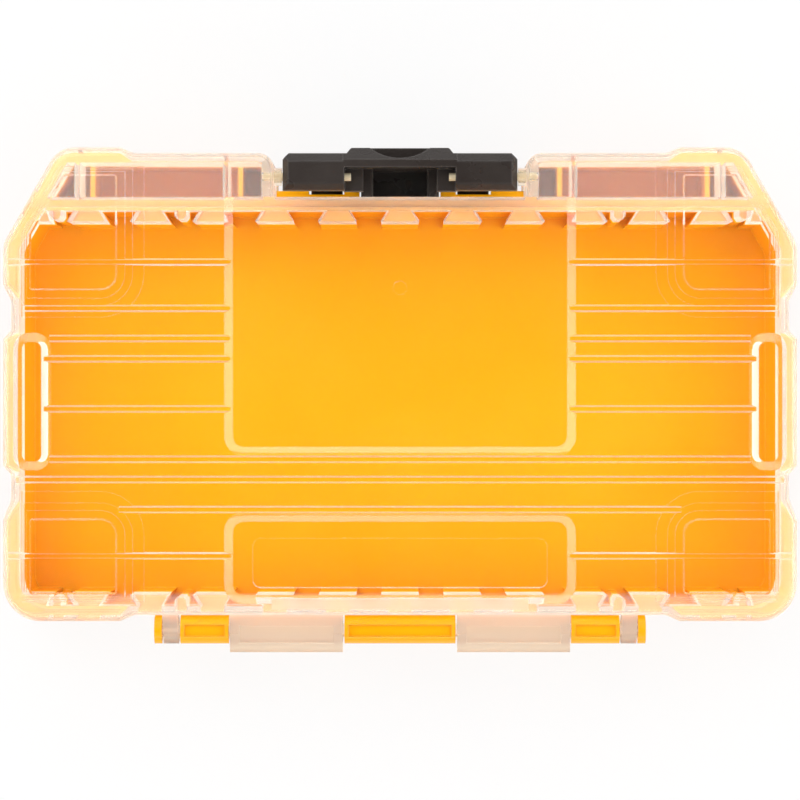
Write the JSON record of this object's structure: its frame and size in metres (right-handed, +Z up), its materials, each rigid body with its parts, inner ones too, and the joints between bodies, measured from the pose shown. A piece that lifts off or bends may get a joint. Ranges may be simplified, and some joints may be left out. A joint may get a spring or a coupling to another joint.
{
  "type": "tool case",
  "caption": "Flat plastic tool case with a clear ribbed lid hinged to an orange tray, comb teeth inside and a black hook latch.",
  "frame": {"origin": "centre of the case's footprint, at the underside of the tray's feet", "axes": "+Z up from the tray to the lid's face, +X along the hinge, +Y from the hinge to the latch"},
  "size_m": [0.1956, 0.1262, 0.0439],
  "materials": {
    "tray_plastic": "satin moulded, orange yellow",
    "clear_plastic": "clear, polished",
    "latch_plastic": "fine satin grain, black",
    "natural_plastic": "uncoloured, satin"
  },
  "bodies": {
    "base": {"tray": "tray_plastic", "hinge_pin": "clear_plastic"},
    "lid": {"lid": "clear_plastic", "latch_pin_left": "natural_plastic", "latch_pin_right": "natural_plastic"},
    "latch": {"latch": "latch_plastic"}
  },
  "joints": [
    {"name": "lid_hinge", "type": "hinge", "parent": "base", "child": "lid", "pos_m": [0, -0.0577, 0.0221], "axis": [1, 0, 0], "range_deg": [0, 120]},
    {"name": "latch_pivot", "type": "hinge", "parent": "lid", "child": "latch", "pos_m": [0, 0.055, 0.038], "axis": [1, 0, 0], "range_deg": [0, 95]}
  ]
}
